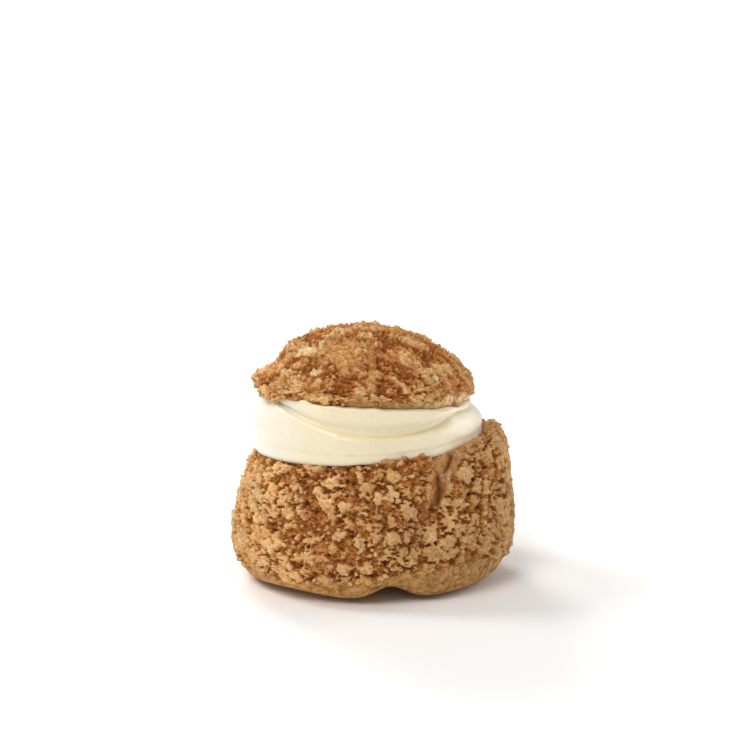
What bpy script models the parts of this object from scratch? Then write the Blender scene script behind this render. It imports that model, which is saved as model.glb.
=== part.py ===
"""A cream puff with a craquelin crust, cut open and filled: a tall choux base, two coils of piped cream, a domed lid.

Metres, +Z up. The puff stands on the floor at z = 0, with the origin under its middle. Its front faces -Y: there the
base is pinched from its rim down to a small arch in its foot. Each piece is a grid of quads, cut from a cube and
wrapped evenly over a turned outline, and then given its lean, folds and crust by the functions below.
"""

import math
from bisect import bisect_right

import bmesh
import bpy
from mathutils import Matrix, Vector, noise
from mathutils.geometry import interpolate_bezier

MM = 0.001
GAP = 0.3 * MM  # left between pieces that lie on each other

# The base: its widest radius, and the height at which it is cut
BASE_RADIUS = 35.0 * MM
BASE_DEPTH_SHARE = 0.95  # front to back against side to side
CUT_HEIGHT = 35.4 * MM
CUT_TILT = math.radians(3.1)  # the cut face rises towards +X
BASE_LEAN = 0.075  # how far the base's middle moves towards +X for each metre up
LEAN_FROM = 14.0 * MM  # the height at which the base's middle is over the origin

# The rim stands up outside the cream on the +X side
LIP_HEIGHT = 1.6 * MM
LIP_RADIUS = 30.6 * MM
LIP_WIDTH = 1.9 * MM
LIP_AZIMUTH = math.radians(-4)
LIP_SPAN = math.radians(48)

# The pinch that runs down the front, and the arch where it meets the floor
PINCH_TOP_AZIMUTH = math.radians(-60)
PINCH_FOOT_AZIMUTH = math.radians(-80)
PINCH_DEPTH = 2.6 * MM
PINCH_WIDTH = 3.6 * MM
PINCH_FROM = 9.0 * MM
PINCH_FULL = 24.0 * MM
ARCH_HEIGHT = 3.3 * MM
ARCH_WIDTH = 5.6 * MM
ARCH_INNER_RADIUS = 9.0 * MM
ARCH_OUTER_RADIUS = 24.0 * MM
ARCH_TOP = 13.0 * MM

# The cream: its place over the cut, its widest radius, and the seam between its two coils
CREAM_X = -1.35 * MM
CREAM_RADIUS = 28.9 * MM
CREAM_FOOT_TUCK = 1.5 * MM  # how far its underside ends inside its widest radius
CREAM_BELLY = 0.34  # where the lower coil is widest, as a share of its height
SEAM_AZIMUTH = math.radians(-75)
SEAM_HEIGHT = 8.6 * MM  # above the cut, on the mean
SEAM_SWING = 3.9 * MM  # the seam dips by this at the front and back, and rises by it at the sides
SEAM_RADIUS = 26.0 * MM
SEAM_RADIUS_SWING = 0.7 * MM
SEAM_UNDER_LID = 1.0 * MM  # it stays this far below the lid
SEAM_SHARE = 0.5  # this share of the grid's rows lies below the seam
UPPER_COIL_BULGE = 1.3 * MM
COIL_ROUNDNESS = 0.6  # 0.5 is an ellipse, 1 a parabola
CREAM_SWELL = 0.55 * MM

# The lid: the middle of its underside, its radius and its rise
LID_X = -2.75 * MM
LID_Z = 46.8 * MM
LID_RADIUS = 26.9 * MM
LID_DEPTH_SHARE = 0.98
LID_RISE = 15.8 * MM
LID_TILT = math.radians(3.2)  # its underside falls towards +X
LID_LOW_AZIMUTH = math.radians(-174)  # here its edge is thin and its slope straight
LID_LOW_DROP = 0.16
LID_WALL = 0.03  # opposite, its edge is a blunt wall that stands out by this share
LID_CORNER_AZIMUTH = math.radians(-140)
LID_CORNER_SPAN = math.radians(26)
LID_CORNER = 0.045  # the edge stands out by this share there

# The crust: baked crumb topping, broken into plates as the choux swelled
PLATE = 4.4 * MM
BASE_CRUST = 1.15 * MM
LID_CRUST = 1.1 * MM
LID_STRETCH = 1.5  # the lid's plates are this much longer down its slope than across it
FOOT_LINE = 5.8 * MM  # the crust ends about here, above the bare choux foot
FOOT_LINE_WAVE = 3.0 * MM
BARE_SKIN = 0.15 * MM  # wrinkles where there is no crust
SWELL = 0.9 * MM  # slow lumps in the whole form
SWELL_LENGTH = 15.0 * MM

BASE_CUTS = 24
CREAM_CUTS = 12
LID_CUTS = 17
OUTLINE_STEPS = 32
HIDDEN = 0.12  # the hidden faces' share of the grid, for their area


def smooth_step(low, high, value):
    share = min(max((value - low) / (high - low), 0.0), 1.0)
    return share * share * (3.0 - 2.0 * share)


def bell(distance, width):
    return math.exp(-((distance / width) ** 2))


def turn_between(a, b):
    """The angle from b to a, from -pi to pi."""
    return (a - b + math.pi) % math.tau - math.pi


def line(start, end):
    return (start, start, end, end)


class Outline:
    """A turned outline, from the middle of the underside to the middle of the top, spread over a grid by area."""

    def __init__(self, stretches):
        self.points = [Vector(stretches[0][1][0])]
        self.shares = [0.0]
        for weight, knots in stretches:
            for point in interpolate_bezier(*(Vector(k) for k in knots), OUTLINE_STEPS)[1:]:
                last = self.points[-1]
                ring = (point.x + last.x) / 2 * (point - last).length
                self.shares.append(self.shares[-1] + weight * ring)
                self.points.append(point)

    def at(self, share):
        """(radius, height) where this share of the grid lies below."""
        wanted = min(max(share, 0.0), 1.0) * self.shares[-1]
        i = min(bisect_right(self.shares, wanted), len(self.shares) - 1)
        low, high = self.shares[i - 1], self.shares[i]
        part = (wanted - low) / (high - low) if high > low else 0.0
        return self.points[i - 1].lerp(self.points[i], part)


# Radius and height, as shares of each piece's radius and height
BASE_OUTLINE = Outline(
    (
        (HIDDEN, line((0.0, 0.0), (0.62, 0.0))),
        (1.0, ((0.62, 0.0), (0.92, 0.0), (1.0, 0.06), (1.0, 0.40))),
        (1.0, ((1.0, 0.40), (1.0, 0.68), (0.895, 0.99), (0.81, 1.0))),
        (HIDDEN, line((0.81, 1.0), (0.0, 1.0))),
    )
)
CREAM_OUTLINE = Outline(
    (
        (HIDDEN, line((0.0, 0.0), (1.0, 0.0))),
        (2.5, line((1.0, 0.0), (1.0, 0.4))),  # its height is a share of its radius here, for the area
        (HIDDEN, line((1.0, 0.4), (0.0, 0.4))),
    )
)
CREAM_SIDE = 0.4
LID_OUTLINE = Outline(
    (
        (HIDDEN, line((0.0, 0.0), (0.935, 0.0))),
        (1.0, ((0.935, 0.0), (0.985, 0.0), (1.005, 0.05), (1.0, 0.14))),
        (1.0, ((1.0, 0.14), (0.985, 0.48), (0.60, 1.0), (0.0, 1.0))),
    )
)


def swell(point):
    """Slow lumps of the whole form, from -1 to 1."""
    return noise.noise(point / SWELL_LENGTH)


def pinch_azimuth(height):
    """Where the pinch runs at this height: it slants from the arch up to the rim."""
    up = height / CUT_HEIGHT
    return PINCH_FOOT_AZIMUTH + (PINCH_TOP_AZIMUTH - PINCH_FOOT_AZIMUTH) * up


def base_form(azimuth, radius_share, height_share):
    """A point of the base without its crust."""
    radius, height = radius_share * BASE_RADIUS, height_share * CUT_HEIGHT
    off_pinch = turn_between(azimuth, pinch_azimuth(height)) * max(radius, LIP_RADIUS / 2)
    side = smooth_step(0.5, 0.75, radius_share)
    folded = smooth_step(PINCH_FROM, PINCH_FULL, height) * smooth_step(0.74, 0.9, radius_share)
    radius -= PINCH_DEPTH * bell(off_pinch, PINCH_WIDTH) * folded
    radius += 0.35 * PINCH_DEPTH * bell(abs(off_pinch) - 2.4 * PINCH_WIDTH, 2 * PINCH_WIDTH) * folded
    direction = Vector((math.cos(azimuth), math.sin(azimuth), 0.0))
    lump = swell(direction * BASE_RADIUS + Vector((0.0, 0.0, height)))
    free = smooth_step(0.62, 0.80, radius_share) * smooth_step(0.0, 0.2, height_share)
    free *= 1.0 - smooth_step(0.80, 1.0, height_share) * (1.0 - smooth_step(0.82, 0.95, radius_share))
    radius += SWELL * lump * free
    point = direction * radius
    point.y *= BASE_DEPTH_SHARE
    point.x += BASE_LEAN * (height - LEAN_FROM) * side
    # The foot lifts into the arch, and the cut face tilts
    inward = smooth_step(ARCH_INNER_RADIUS, ARCH_OUTER_RADIUS, radius)
    lift = ARCH_HEIGHT * bell(off_pinch, ARCH_WIDTH) * inward
    point.z = height + lift * (1.0 - smooth_step(0.0, ARCH_TOP, height))
    point.z += math.tan(CUT_TILT) * point.x * height_share**2
    turned = turn_between(azimuth, LIP_AZIMUTH)
    lip = bell(radius - LIP_RADIUS, LIP_WIDTH) * bell(turned, LIP_SPAN) * smooth_step(0.5, 0.9, height_share)
    point.z += LIP_HEIGHT * lip
    return point


def coil(share):
    """A coil's bulge, 0 at its edges (share -1 and 1) and 1 halfway."""
    return max(1.0 - share * share, 0.0) ** COIL_ROUNDNESS


def cream_form(azimuth, radius_share, side_share, top_at):
    """A point of the cream, over its own underside. top_at gives the height of the lid's underside at x, y."""
    swing = math.cos(2.0 * turn_between(azimuth, SEAM_AZIMUTH))
    seam_radius = SEAM_RADIUS + SEAM_RADIUS_SWING * swing
    direction = Vector((math.cos(azimuth), math.sin(azimuth), 0.0))
    rim = direction * seam_radius
    top = top_at(rim.x, rim.y)
    seam = min(SEAM_HEIGHT - SEAM_SWING * swing, top - SEAM_UNDER_LID)
    if side_share < SEAM_SHARE:
        up = side_share / SEAM_SHARE
        height = up * seam
        if up > CREAM_BELLY:
            radius = seam_radius + (CREAM_RADIUS - seam_radius) * coil((up - CREAM_BELLY) / (1.0 - CREAM_BELLY))
        else:
            radius = CREAM_RADIUS - CREAM_FOOT_TUCK * (1.0 - coil(1.0 - up / CREAM_BELLY))
    else:
        up = (side_share - SEAM_SHARE) / (1.0 - SEAM_SHARE)
        height = seam + up * (top - seam)
        radius = seam_radius + UPPER_COIL_BULGE * coil(1.4 * up - 1.0)
    radius += CREAM_SWELL * swell(direction * radius + Vector((0.0, 0.0, height)))
    point = direction * radius * radius_share
    point.z = height / top * top_at(point.x, point.y)
    return point


def lid_form(azimuth, radius_share, height_share):
    """A point of the lid over the middle of its own underside, without its crust."""
    direction = Vector((math.cos(azimuth), math.sin(azimuth), 0.0))
    edge = smooth_step(0.5, 1.0, radius_share)
    corner = LID_CORNER * bell(turn_between(azimuth, LID_CORNER_AZIMUTH), LID_CORNER_SPAN) * edge
    low = (1.0 + math.cos(turn_between(azimuth, LID_LOW_AZIMUTH))) / 2
    wall = LID_WALL * (1.0 - low) * bell(height_share - 0.3, 0.25)
    point = direction * radius_share * LID_RADIUS * (1.0 + corner + wall)
    point.y *= LID_DEPTH_SHARE
    shoulder = smooth_step(0.65, 0.93, radius_share) * (1.0 - smooth_step(0.98, 1.02, radius_share))
    point.z = height_share * LID_RISE * (1.0 - LID_LOW_DROP * low * shoulder)
    lump = swell(point + Vector((0.0, 0.0, LID_Z)))
    free = smooth_step(0.02, 0.2, height_share)
    return point + (direction * radius_share + Vector((0.0, 0.0, 1.0 - radius_share))) * SWELL * lump * free


def plates(point, size):
    """The broken crust, from 0 in its cracks to 1 on a plate, with ragged outlines."""
    place = point / size
    place += 0.3 * noise.noise_vector(place * 1.7)
    near = noise.voronoi(place)[0]
    ragged = 0.12 * noise.noise(place * 3.3)
    return smooth_step(0.05, 0.42, near[1] - near[0] + ragged)


def base_crust(point, azimuth, radius_share, height_share):
    """How far the crust or the bare skin stands off the base's form."""
    height = height_share * CUT_HEIGHT
    wave = noise.noise(Vector((math.cos(azimuth), math.sin(azimuth), 0.0)) * 1.6)
    covered = smooth_step(0.0, 3.0 * MM, height - FOOT_LINE - FOOT_LINE_WAVE * wave)
    off_pinch = turn_between(azimuth, pinch_azimuth(height)) * BASE_RADIUS
    stretched = bell(off_pinch, PINCH_WIDTH) * smooth_step(PINCH_FULL / 2, PINCH_FULL, height)
    outside = smooth_step(0.82, 0.88, radius_share)
    crust = BASE_CRUST * plates(point, PLATE) * covered * (1.0 - 0.8 * stretched)
    skin = BARE_SKIN * noise.noise(point / (2.0 * MM)) * smooth_step(0.02, 0.08, height_share)
    return (crust + skin) * outside


def lid_crust(point, radius_share, height_share):
    """How far the crust stands off the lid's form. Its plates are stretched down the slope."""
    down = Vector((point.x, point.y, 0.0)) * (1.0 / LID_STRETCH - 1.0)
    covered = smooth_step(0.03, 0.12, height_share)
    crust = LID_CRUST * plates(point + down + Vector((0.0, 0.0, LID_Z)), PLATE)
    skin = BARE_SKIN * noise.noise(point / (2.0 * MM))
    return (crust + skin) * covered


def quad_ball(cuts):
    """A unit ball of even quads, from a cube cut into a grid."""
    grid = bmesh.new()
    bmesh.ops.create_cube(grid, size=2.0)
    bmesh.ops.subdivide_edges(grid, edges=grid.edges[:], cuts=cuts, use_grid_fill=True)
    for vertex in grid.verts:
        vertex.co = Vector([math.tan(c * math.pi / 4) for c in vertex.co]).normalized()
    return grid


def wrap(grid, outline, form):
    """Moves each vertex of a unit ball onto form(azimuth, radius share, height share). Returns those three by vertex."""
    where = {}
    for vertex in grid.verts:
        radius, height = outline.at((1.0 + vertex.co.z) / 2)
        azimuth = math.atan2(vertex.co.y, vertex.co.x)
        where[vertex] = (azimuth, radius, height)
        vertex.co = form(azimuth, radius, height)
    grid.normal_update()
    return where


def raise_crust(grid, height_of):
    """Moves each vertex out along its normal by height_of(vertex)."""
    moved = {vertex: vertex.co + vertex.normal * height_of(vertex) for vertex in grid.verts}
    for vertex, place in moved.items():
        vertex.co = place


def food_material(name, colour, roughness):
    material = bpy.data.materials.new(name)
    material.use_nodes = True
    shader = material.node_tree.nodes["Principled BSDF"]
    shader.inputs["Base Color"].default_value = (*colour, 1.0)
    shader.inputs["Roughness"].default_value = roughness
    shader.inputs["Metallic"].default_value = 0.0
    material.diffuse_color = (*colour, 1.0)
    return material


def piece(name, grid, material, place, collection, carrier):
    """A smooth-shaded object of this grid, placed on the carrier."""
    bmesh.ops.triangulate(grid, faces=grid.faces[:], quad_method="SHORT_EDGE")
    mesh = bpy.data.meshes.new(name)
    grid.to_mesh(mesh)
    grid.free()
    mesh.materials.append(material)
    mesh.shade_smooth()
    made = bpy.data.objects.new(name, mesh)
    made.parent = carrier
    made.matrix_basis = place
    collection.objects.link(made)
    return made


def make_base(collection, carrier):
    grid = quad_ball(BASE_CUTS)
    where = wrap(grid, BASE_OUTLINE, base_form)
    raise_crust(grid, lambda vertex: base_crust(vertex.co, *where[vertex]))
    baked = food_material("craquelin_crust", (0.50, 0.27, 0.10), 0.75)
    return piece("base", grid, baked, Matrix.Identity(4), collection, carrier)


def cream_place():
    middle = Vector((CREAM_X, 0.0, CUT_HEIGHT + math.tan(CUT_TILT) * CREAM_X + GAP))
    return Matrix.Translation(middle) @ Matrix.Rotation(-CUT_TILT, 4, "Y")


def lid_place():
    return Matrix.Translation((LID_X, 0.0, LID_Z)) @ Matrix.Rotation(LID_TILT, 4, "Y")


def make_cream(collection, carrier):
    under_lid = cream_place().inverted() @ lid_place()
    normal = under_lid.col[2].to_3d()
    below = under_lid.translation - normal * GAP

    def top_at(x, y):
        return below.z - (normal.x * (x - below.x) + normal.y * (y - below.y)) / normal.z

    grid = quad_ball(CREAM_CUTS)
    wrap(grid, CREAM_OUTLINE, lambda azimuth, radius, height: cream_form(azimuth, radius, height / CREAM_SIDE, top_at))
    whipped = food_material("vanilla_cream", (0.90, 0.80, 0.56), 0.5)
    return piece("cream", grid, whipped, cream_place(), collection, carrier)


def make_lid(collection, carrier):
    grid = quad_ball(LID_CUTS)
    where = wrap(grid, LID_OUTLINE, lid_form)
    raise_crust(grid, lambda vertex: lid_crust(vertex.co, *where[vertex][1:]))
    baked = food_material("craquelin_lid_crust", (0.47, 0.24, 0.09), 0.7)
    return piece("lid", grid, baked, lid_place(), collection, carrier)


def centre_on_origin(carrier, pieces):
    """Moves the carrier so that the middle of the pieces' common box is over the origin."""
    bpy.context.view_layer.update()
    corners = [made.matrix_world @ vertex.co for made in pieces for vertex in made.data.vertices]
    for axis in (0, 1):
        reach = [corner[axis] for corner in corners]
        carrier.location[axis] = -(min(reach) + max(reach)) / 2


def main():
    for old in list(bpy.data.objects):
        bpy.data.objects.remove(old, do_unlink=True)
    collection = bpy.data.collections.new("cream_puff")
    bpy.context.scene.collection.children.link(collection)
    carrier = bpy.data.objects.new("cream_puff", None)
    collection.objects.link(carrier)
    pieces = [make(collection, carrier) for make in (make_base, make_cream, make_lid)]
    centre_on_origin(carrier, pieces)


main()
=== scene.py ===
"""The looks of a filled choux bun with a craquelin crust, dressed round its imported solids.

The forms of base, cream and lid are the ones their solids were worked out with, on a finer grid. The crust is
raised grain by grain on top of them, and loose crumbs are strewn over it by Geometry Nodes. Metres, +Z up.
"""

import math
from bisect import bisect_right

import bmesh
import bpy
from mathutils import Matrix, Vector, noise
from mathutils.geometry import interpolate_bezier, intersect_point_line

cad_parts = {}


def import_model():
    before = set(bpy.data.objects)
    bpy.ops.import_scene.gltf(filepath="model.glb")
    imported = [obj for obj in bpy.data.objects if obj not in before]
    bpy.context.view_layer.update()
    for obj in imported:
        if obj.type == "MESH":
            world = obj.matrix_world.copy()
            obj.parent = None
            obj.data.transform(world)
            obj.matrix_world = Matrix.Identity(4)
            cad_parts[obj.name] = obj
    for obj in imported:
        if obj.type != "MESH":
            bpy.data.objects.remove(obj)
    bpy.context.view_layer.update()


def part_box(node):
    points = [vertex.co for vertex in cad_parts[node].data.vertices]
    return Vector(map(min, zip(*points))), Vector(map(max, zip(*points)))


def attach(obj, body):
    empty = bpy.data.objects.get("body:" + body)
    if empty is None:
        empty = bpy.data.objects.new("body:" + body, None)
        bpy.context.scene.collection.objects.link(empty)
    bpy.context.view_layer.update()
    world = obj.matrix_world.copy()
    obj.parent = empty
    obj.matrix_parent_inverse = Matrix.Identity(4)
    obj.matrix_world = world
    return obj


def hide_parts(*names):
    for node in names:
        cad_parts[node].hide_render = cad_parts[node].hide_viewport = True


MM = 0.001
DEGREE = math.pi / 180.0


def in_mm(*places):
    return tuple(Vector(place) * MM for place in places)


# The solids' named sizes
GAP = 0.3 * MM
BASE_RADIUS = 35.0 * MM
BASE_DEPTH_SHARE = 0.95
CUT_HEIGHT = 35.4 * MM
CUT_TILT = 3.1 * DEGREE
BASE_LEAN = 0.075
LEAN_FROM = 14.0 * MM
LIP_HEIGHT = 1.6 * MM
LIP_RADIUS = 30.6 * MM
LIP_WIDTH = 1.9 * MM
LIP_AZIMUTH = -4 * DEGREE
LIP_SPAN = 48 * DEGREE
PINCH_TOP_AZIMUTH = -60 * DEGREE
PINCH_FOOT_AZIMUTH = -80 * DEGREE
PINCH_DEPTH = 2.6 * MM
PINCH_WIDTH = 3.6 * MM
PINCH_FROM = 9.0 * MM
PINCH_FULL = 24.0 * MM
ARCH_HEIGHT = 3.3 * MM
ARCH_WIDTH = 5.6 * MM
ARCH_INNER_RADIUS = 9.0 * MM
ARCH_OUTER_RADIUS = 24.0 * MM
ARCH_TOP = 13.0 * MM
CREAM_X = -1.35 * MM
CREAM_RADIUS = 28.9 * MM
CREAM_FOOT_TUCK = 1.5 * MM
CREAM_BELLY = 0.34
SEAM_AZIMUTH = -75 * DEGREE
SEAM_HEIGHT = 8.6 * MM
SEAM_SWING = 3.9 * MM
SEAM_RADIUS = 26.0 * MM
SEAM_RADIUS_SWING = 0.7 * MM
SEAM_UNDER_LID = 1.0 * MM
SEAM_SHARE = 0.5
UPPER_COIL_BULGE = 1.3 * MM
COIL_ROUNDNESS = 0.6
CREAM_SWELL = 0.55 * MM
LID_X = -2.75 * MM
LID_Z = 46.8 * MM
LID_RADIUS = 26.9 * MM
LID_DEPTH_SHARE = 0.98
LID_RISE = 15.8 * MM
LID_TILT = 3.2 * DEGREE
LID_LOW_AZIMUTH = -174 * DEGREE
LID_LOW_DROP = 0.16
LID_WALL = 0.03
LID_CORNER_AZIMUTH = -140 * DEGREE
LID_CORNER_SPAN = 26 * DEGREE
LID_CORNER = 0.045
FOOT_LINE = 5.8 * MM
SWELL = 0.9 * MM
SWELL_LENGTH = 15.0 * MM
OUTLINE_STEPS = 32
HIDDEN = 0.12
SOLID_CREAM_CUTS = 12

# The finer grids
BASE_CUTS = 127
CREAM_CUTS = 79
LID_CUTS = 111
CELL = 0.3 * MM  # about the size of their quads

CHANCE_SEED = 4  # keeps the crust the same from run to run

# The crust: plates of grains over lower crumbs, with cracks between the plates
PLATE = 3.8 * MM
LID_PLATE = 3.2 * MM
GRAIN = 0.75 * MM
RELIEF = 1.9 * MM  # how high a full grain stands over bare skin
CRACK_DEPTH = 1.0 * MM  # how far that bare skin lies under the solid's own form
GRAIN_NOTCH = 0.15  # how deep the lines between two grains are, as a share of the crust
WALL = 0.09 * MM  # half the width of a plate's steep edge
SUNKEN = 0.25  # the share of the plates that has mostly broken away
HEAPS = ((2.6 * MM, 0.45 * MM), (1.2 * MM, 0.26 * MM))  # rounded lumps: how far apart, how high
LID_HEAPS = ((5.0 * MM, 0.50 * MM), (2.4 * MM, 0.55 * MM), (1.2 * MM, 0.38 * MM))
# How noise bends each kind of cell: how far, how often
HEAP_BENDS = ((0.3, 1.3), (0.15, 3.7))
PLATE_BENDS = ((0.3, 1.7), (0.12, 4.1))
GRAIN_BENDS = ((0.22, 0.9), (0.12, 2.3))
RIDGE_BENDS = ((0.35, 0.8), (0.15, 2.6))
# Noise of two sizes: how long it is, how high
SKIN_WAVES = ((2.0 * MM, 0.10 * MM), (0.7 * MM, 0.06 * MM))
GRIT_WAVES = ((0.9 * MM, 0.75), (0.45 * MM, 0.25))
PATCH_WAVES = ((3.2 * MM, 0.55), (0.9 * MM, 0.15))
FIBRE_WAVES = ((1.1 * MM, 0.6), (0.45 * MM, 0.4))
CREAM_WAVES = ((4.0 * MM, 0.16 * MM), (1.5 * MM, 0.05 * MM))
GRIT_HEIGHT = 0.22 * MM
RAGGED_LENGTH = 1.8 * MM  # about how long the teeth of the crust's edges are
LID_STRETCH = 1.3  # the lid's plates are this many times as wide as high
LID_RAGGED = 0.06  # the teeth of its crust's lower edge, as a share of its height
LID_RIDGE = 2.0 * MM  # the ridges on its right are this far apart, and three times as long
LID_RIDGE_HEIGHT = 1.9 * MM
LID_RIDGED_AZIMUTH = -20 * DEGREE
LID_HEAP_CUT = 0.35 * MM  # its lumps lie this much lower, so that their tops meet the solid's crust
RIM_RAMP = 0.6 * MM  # over this width the crust rises beside the cream's foot

BASE_SLIMMER = 0.25 * MM  # the base is this much slimmer than its solid, for its crumbs
LID_SLIMMER = 1.3 * MM  # and the lid's left slope this much
LID_TOP = 0.5 * MM  # and its top this much higher

# Where the crust ends above the choux foot
FOOT_DIP = 2.6 * MM  # this much lower at the front left
FOOT_DIP_AZIMUTH = -132 * DEGREE
FOOT_RISE = 2.6 * MM  # and this much higher at the front right
FOOT_RISE_AZIMUTH = -45 * DEGREE
FOOT_SPAN = 36 * DEGREE
FOOT_RAGGED = 1.2 * MM
FOOT_WAVE = 1.5 * MM
FOOT_LIFT = 1.1 * MM  # the foot's edge lies this much off the floor at the front left
FOOT_LIFT_AZIMUTH = -130 * DEGREE

# The fold in the pinch: bare skin that widens towards the rim, a ridge on its left, two creases and fine
# strands. Places across the pinch are given at the fold's foot and at the rim, at these two heights.
FOLD_FOOT, FOLD_RIM = 24.0 * MM, 35.4 * MM
FOLD_LEFT = (0.3 * MM, -4.2 * MM)
FOLD_RIGHT = (2.8 * MM, 9.0 * MM)
RIDGE = (-0.8 * MM, -5.2 * MM)
RIDGE_WIDTH = 1.3 * MM
RIDGE_HEIGHT = 1.3 * MM
CREASES = (  # each with its lowest and its highest point
    (2.2 * MM, -2.0 * MM, 23.5 * MM, 31.0 * MM),
    (1.5 * MM, 4.3 * MM, 30.5 * MM, 38.0 * MM),
)
CREASE_WIDTH = 0.45 * MM
CREASE_DEPTH = 1.5 * MM
CREASE_RUN = 1.5 * MM  # over this length it runs out at its ends
STRAND = 0.8 * MM

# The lid's crust is pulled smooth in one place at its front, with glazed spots and a groove left of it.
# Patches are given by their middle and half their size, lines by their ends, over its underside's middle.
PULLED = in_mm((-4.3, -14.6, 12.6), (8.2, 6.3, 6.3))
PULL = Vector((0.80, -0.45, -0.40))  # the way the crust is pulled there
FIBRE_HEIGHT = 0.6 * MM
TORN_EDGE = in_mm((-11.2, -11.5, 12.8), (-7.0, -5.8, 14.9))
TORN_WIDTH = 0.7 * MM
TORN_HEIGHT = 0.8 * MM
GLAZED = (
    in_mm((-15.0, -10.0, 11.7), (3.4, 2.6, 2.6)),
    in_mm((-12.1, -19.0, 9.1), (1.5, 1.3, 1.3)),
    in_mm((-20.5, -6.5, 9.6), (1.6, 1.6, 1.6)),
)
GROOVE = in_mm((-21.1, -3.0, 8.2), (-14.1, 0.0, 13.5))
GROOVE_WIDTH = 0.9 * MM
GROOVE_DEPTH = 1.3 * MM
LID_DRAWN = Vector((0.80, -0.25, -0.55)).normalized()  # the way its crumbs are drawn out on the right
LID_DRAWN_FROM = Vector((1.0, -6.0, 13.0)) * MM
LID_DRAWN_SHARE, LID_DRAWN_RAMP = 0.62, 10.0 * MM
BARE_EDGE_AZIMUTH = -28 * DEGREE  # the lid's bare edge is widest there
LID_DROOP = 0.5 * MM  # how unevenly its lower edge hangs over the cream
LID_LIFT = 1.3 * MM  # and how much its left end lifts off it
LID_LIFT_SPAN = 0.6
LID_EDGE = (  # where its front edge hangs higher or lower: azimuth, span, height
    (-150 * DEGREE, 0.22, -1.6 * MM),
    (-100 * DEGREE, 0.8, 0.9 * MM),
    (-121 * DEGREE, 0.06, 0.9 * MM),
)
BASE_GLAZED = in_mm((-25.5, -17.0, 31.0), (2.6, 2.6, 2.8))  # at the base's left shoulder

CREAM_SINK = 0.2 * MM  # the cream reaches this far into base and lid
SEAM_FILL = 0.3 * MM  # the seam is this much shallower than in the solid, and rounded out
SEAM_SOFT, SEAM_ROUNDS = 0.11, 16  # it is smoothed this far beside its line, so many times
SEAM_END_AZIMUTH = -150 * DEGREE  # there the seam runs out under the lid, risen by so much
SEAM_END_RISE = 1.3 * MM
SEAM_CLOSED_AZIMUTH = -132 * DEGREE  # before that it closes up, filled by so much
SEAM_CLOSED_FILL = 1.3 * MM
CREAM_LEFT_BELLY = 0.9 * MM  # the lower coil swells out so much further on the left
COIL_LEAN = 3.2 * MM  # and its top leans in so much more at the back
COIL_BRIM = 1.6 * MM  # the upper coil swells out so much more under the lid's front
UPPER_LEAN = 1.4 * MM  # and leans in so much beside it
UPPER_LEAN_OFF, UPPER_LEAN_SPAN = 1.4, 0.6  # that far round from the front
FOOT_FILL = 0.9 * MM  # the cream's foot lies this much further out
BUBBLE = 0.9 * MM  # the cream's bubbles lie about this far apart
BUBBLE_DEPTH = 0.2 * MM


def ramp(low, high, value):
    """0 below low, 1 above high, and smooth between them."""
    share = min(max((value - low) / (high - low), 0.0), 1.0)
    return share * share * (3.0 - 2.0 * share)


def fade(low, high, value):
    """1 below low, 0 above high."""
    return 1.0 - ramp(low, high, value)


def bell(distance, width):
    return math.exp(-((distance / width) ** 2))


def angle_to(a, b):
    """The angle to a from b, from -pi to pi."""
    return (a - b + math.pi) % math.tau - math.pi


def facing(azimuth, middle, span):
    """1 where the puff faces this way, falling to 0 round it."""
    return bell(angle_to(azimuth, middle), span)


def outward(azimuth):
    return Vector((math.cos(azimuth), math.sin(azimuth), 0.0))


def above(height):
    return Vector((0.0, 0.0, height))


def line(start, end):
    return (start, start, end, end)


def waves(point, sizes):
    return sum(high * noise.noise(point / long) for long, high in sizes)


def bent(place, bends):
    """The place moved about by noise, so that cells looked up there come out uneven."""
    return place + sum((far * noise.noise_vector(place * often) for far, often in bends), Vector())


def chance(place):
    """A chance number from 0 to 1 for this place."""
    return 0.5 + 0.5 * noise.cell(place * 91.7 + Vector((3.1, 5.7, 9.2)))


class Outline:
    """A turned outline, from the middle of the underside to that of the top, spread over a grid by area."""

    def __init__(self, stretches):
        self.points = [Vector(stretches[0][1][0])]
        self.shares = [0.0]
        for weight, knots in stretches:
            for point in interpolate_bezier(*(Vector(k) for k in knots), OUTLINE_STEPS)[1:]:
                last = self.points[-1]
                ring = (point.x + last.x) / 2 * (point - last).length
                self.shares.append(self.shares[-1] + weight * ring)
                self.points.append(point)

    def at(self, share):
        """(radius, height) where this share of the grid lies below."""
        wanted = min(max(share, 0.0), 1.0) * self.shares[-1]
        i = min(bisect_right(self.shares, wanted), len(self.shares) - 1)
        low, high = self.shares[i - 1], self.shares[i]
        part = (wanted - low) / (high - low) if high > low else 0.0
        return self.points[i - 1].lerp(self.points[i], part)


BASE_OUTLINE = Outline(
    (
        (HIDDEN, line((0.0, 0.0), (0.62, 0.0))),
        (1.0, ((0.62, 0.0), (0.92, 0.0), (1.0, 0.06), (1.0, 0.40))),
        (1.0, ((1.0, 0.40), (1.0, 0.68), (0.895, 0.99), (0.81, 1.0))),
        (HIDDEN, line((0.81, 1.0), (0.0, 1.0))),
    )
)
CREAM_SIDE = 0.4
CREAM_OUTLINE = Outline(
    (
        (HIDDEN, line((0.0, 0.0), (1.0, 0.0))),
        (2.5, line((1.0, 0.0), (1.0, CREAM_SIDE))),
        (HIDDEN, line((1.0, CREAM_SIDE), (0.0, CREAM_SIDE))),
    )
)
LID_OUTLINE = Outline(
    (
        (HIDDEN, line((0.0, 0.0), (0.935, 0.0))),
        (1.0, ((0.935, 0.0), (0.985, 0.0), (1.005, 0.05), (1.0, 0.14))),
        (1.0, ((1.0, 0.14), (0.985, 0.48), (0.60, 1.0), (0.0, 1.0))),
    )
)


# --- the forms of the three pieces, as their solids have them ---
# wide and high are shares of a piece's full radius and height.


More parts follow.
